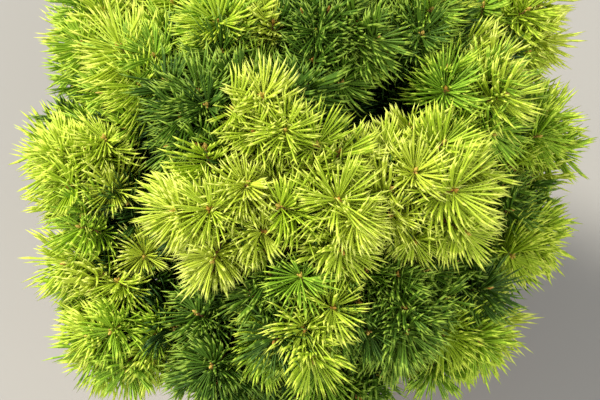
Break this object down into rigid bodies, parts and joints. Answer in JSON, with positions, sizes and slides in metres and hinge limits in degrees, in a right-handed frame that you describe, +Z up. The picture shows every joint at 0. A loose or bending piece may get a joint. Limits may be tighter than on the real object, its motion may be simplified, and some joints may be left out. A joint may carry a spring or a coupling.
{
  "type": "potted dwarf mountain pine",
  "caption": "Low round dwarf pine with dense golden-green needles on many short boughs, standing in a plain tapered clay pot.",
  "frame": {"origin": "centre of the pot's flat underside, where it stands on the floor", "axes": "+Z up along the pot's axis; the front of the plant, the side the picture was taken from, faces -Y; +X is the picture's right"},
  "size_m": [0.4763, 0.4543, 0.4994],
  "materials": {
    "clay": "unglazed fired clay, matte",
    "compost": "rough, loose, dark brown",
    "bark": "rough red-brown bark",
    "young_needles": "golden lime green, satin",
    "old_needles": "deep green, satin"
  },
  "bodies": {
    "root": {"pot": "clay", "compost": "compost", "trunk": "bark", "bough_right": "bark", "foliage_right": "young_needles", "bough_right_front": "bark", "foliage_right_front": "young_needles", "bough_front_right": "bark", "foliage_front_right": "old_needles", "bough_front": "bark", "foliage_front": "young_needles", "bough_front_low": "bark", "foliage_front_low": "young_needles", "bough_front_left": "bark", "foliage_front_left": "old_needles", "bough_left_front": "bark", "foliage_left_front": "young_needles", "bough_left_low": "bark", "foliage_left_low": "young_needles", "bough_left": "bark", "foliage_left": "young_needles", "bough_left_rear": "bark", "foliage_left_rear": "young_needles", "bough_left_back": "bark", "foliage_left_back": "young_needles", "bough_back_left": "bark", "foliage_back_left": "young_needles", "bough_back": "bark", "foliage_back": "young_needles", "bough_back_right": "bark", "foliage_back_right": "young_needles", "bough_right_back": "bark", "foliage_right_back": "young_needles", "bough_right_rear": "bark", "foliage_right_rear": "young_needles", "bough_shoulder_right": "bark", "foliage_shoulder_right": "young_needles", "bough_shoulder_front_right": "bark", "foliage_shoulder_front_right": "young_needles", "bough_shoulder_front": "bark", "foliage_shoulder_front": "young_needles", "bough_shoulder_front_left": "bark", "foliage_shoulder_front_left": "young_needles", "bough_shoulder_left": "bark", "foliage_shoulder_left": "young_needles", "bough_shoulder_back_left": "bark", "foliage_shoulder_back_left": "young_needles", "bough_shoulder_back": "bark", "foliage_shoulder_back": "young_needles", "bough_shoulder_back_right": "bark", "foliage_shoulder_back_right": "young_needles", "bough_top_front": "bark", "foliage_top_front": "young_needles", "bough_top_left": "bark", "foliage_top_left": "old_needles", "bough_top_back": "bark", "foliage_top_back": "young_needles", "foliage_top": "old_needles"}
  },
  "joints": []
}
